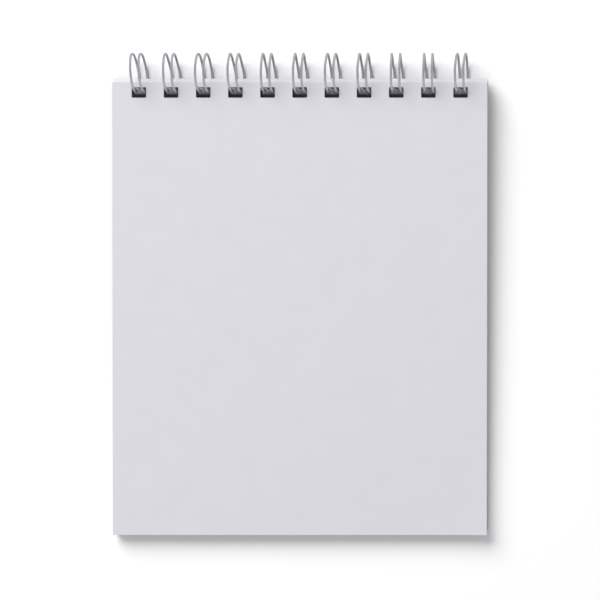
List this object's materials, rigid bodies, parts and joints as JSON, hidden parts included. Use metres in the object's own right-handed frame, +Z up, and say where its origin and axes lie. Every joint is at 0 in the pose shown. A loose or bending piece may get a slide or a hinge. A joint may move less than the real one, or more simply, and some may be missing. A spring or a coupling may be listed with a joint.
{
  "type": "spiral notebook",
  "caption": "Top-bound writing pad with plain white sheets on a twin-loop wire, a card front cover and a stiff backing board.",
  "frame": {"origin": "centre of the bounding box, at the height of the surface that the pad rests on", "axes": "+X along the rings to the right of a reader, +Y from the free edge to the rings, +Z up"},
  "size_m": [0.1488, 0.1908, 0.0158],
  "materials": {
    "wire": "bright drawn steel wire, round section",
    "paper": "uncoated white writing paper",
    "card": "uncoated white card, fine tooth",
    "board": "black backing board"
  },
  "bodies": {
    "pages": {"page_block": "paper", "wire_binding": "wire"},
    "front_cover": {"front_cover": "card"},
    "back_cover": {"back_cover": "board"}
  },
  "joints": [
    {"name": "front_cover_hinge", "type": "hinge", "parent": "pages", "child": "front_cover", "pos_m": [-0.00022, 0.08743, 0.00793], "axis": [-1, 0, 0], "range_deg": [0, 180]},
    {"name": "back_cover_hinge", "type": "hinge", "parent": "pages", "child": "back_cover", "pos_m": [-0.00022, 0.08743, 0.00793], "axis": [1, 0, 0], "range_deg": [0, 90]}
  ]
}
